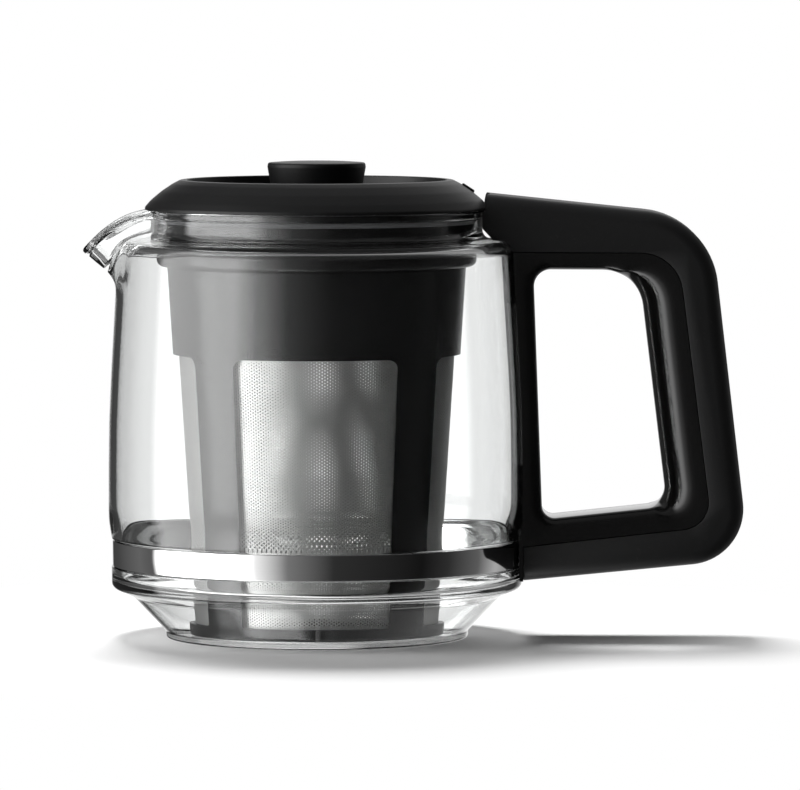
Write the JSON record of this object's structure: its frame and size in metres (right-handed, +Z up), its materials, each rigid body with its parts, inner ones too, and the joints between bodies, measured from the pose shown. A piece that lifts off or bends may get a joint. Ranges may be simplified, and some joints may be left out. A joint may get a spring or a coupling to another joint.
{
  "type": "glass tea pot with infuser basket",
  "caption": "Clear glass tea pot with pouring lip, steel foot band, black loop handle, domed black lid with a knob and a perforated infuser basket inside.",
  "frame": {"origin": "centre of the glass base on the pot's axis, on the surface that it stands on", "axes": "+Z up along the pot's axis, +X towards the handle, -X towards the pouring lip, -Y towards the viewer"},
  "size_m": [0.2381, 0.1498, 0.1709],
  "materials": {
    "clear_glass": "clear blown glass, smooth and glossy",
    "polished_steel": "polished stainless steel",
    "fastener_steel": "plain zinc-coated steel",
    "matte_black": "fine matte moulded texture",
    "gloss_black": "high gloss moulding",
    "clear_silicone": "soft, satin",
    "basket_black": "satin moulding",
    "grey_silicone": "soft, satin",
    "knob_black": "satin moulding",
    "mesh_steel": "perforated stainless steel sheet"
  },
  "bodies": {
    "carafe": {"glass_vessel": "clear_glass", "steel_band": "polished_steel", "band_clamp_screw": "fastener_steel", "band_clamp_nut": "fastener_steel", "handle_shell": "matte_black", "handle_liner": "gloss_black", "handle_screws": "fastener_steel", "handle_bond_pad": "clear_silicone"},
    "lid": {"lid_cap": "matte_black", "lid_insert": "basket_black", "lid_gasket": "grey_silicone", "lid_knob": "knob_black", "knob_screw": "fastener_steel", "knob_washer": "grey_silicone"},
    "infuser": {"infuser_collar": "basket_black", "infuser_frame": "basket_black", "mesh_panel_handle": "mesh_steel", "mesh_panel_back": "mesh_steel", "mesh_panel_spout": "mesh_steel", "mesh_panel_front": "mesh_steel", "mesh_floor": "mesh_steel", "infuser_foot_ring": "basket_black"}
  },
  "joints": [
    {"name": "lid_lift", "type": "slide", "parent": "carafe", "child": "lid", "axis": [0, 0, 1], "range_m": [0, 0.16]},
    {"name": "infuser_twist", "type": "hinge", "parent": "lid", "child": "infuser", "pos_m": [0, 0, 0.147], "axis": [0, 0, 1], "range_deg": [0, 20]}
  ]
}
